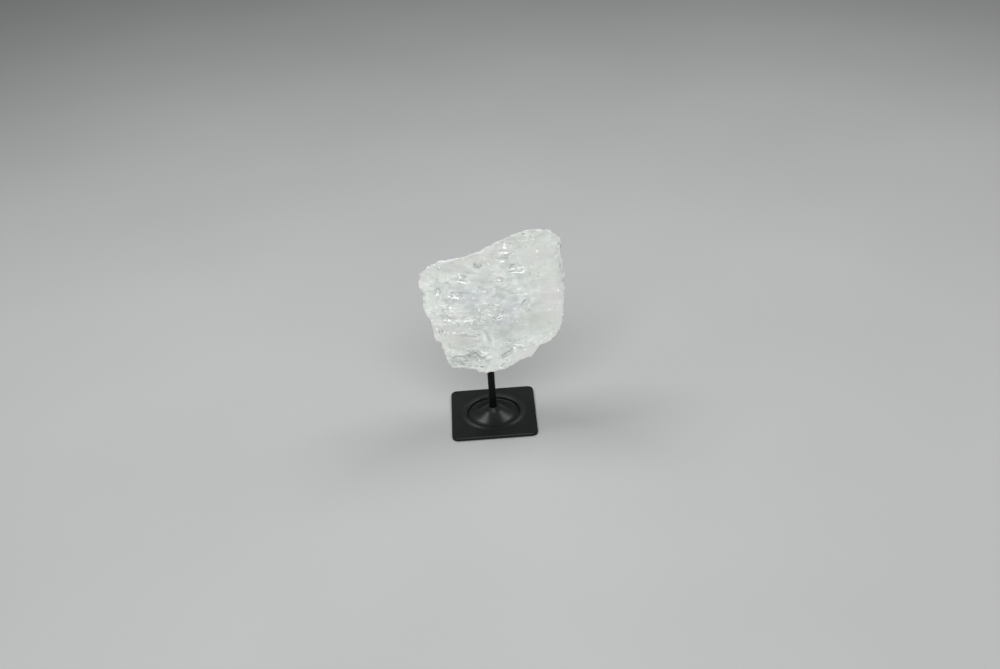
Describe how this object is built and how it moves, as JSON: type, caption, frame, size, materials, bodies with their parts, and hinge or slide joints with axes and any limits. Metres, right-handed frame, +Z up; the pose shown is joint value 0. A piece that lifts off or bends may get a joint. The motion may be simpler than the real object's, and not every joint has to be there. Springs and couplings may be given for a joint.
{
  "type": "lemurian quartz crystal on stand",
  "caption": "Rough milky quartz specimen with a broad stepped face, held up by a round rod on a square black display base with a flared cone and ring.",
  "frame": {"origin": "middle of the base plate's flat underside, on the surface the stand rests on", "axes": "+Z up along the rod; -Y is the way the crystal's broad stepped face looks; +X to the right seen from the front"},
  "size_m": [0.1249, 0.0762, 0.1819],
  "materials": {
    "quartz": "frosted, milky, with glassy ledges",
    "black_metal": "gloss black"
  },
  "bodies": {
    "root": {"base_plate": "black_metal", "rod": "black_metal", "crystal": "quartz"}
  },
  "joints": []
}
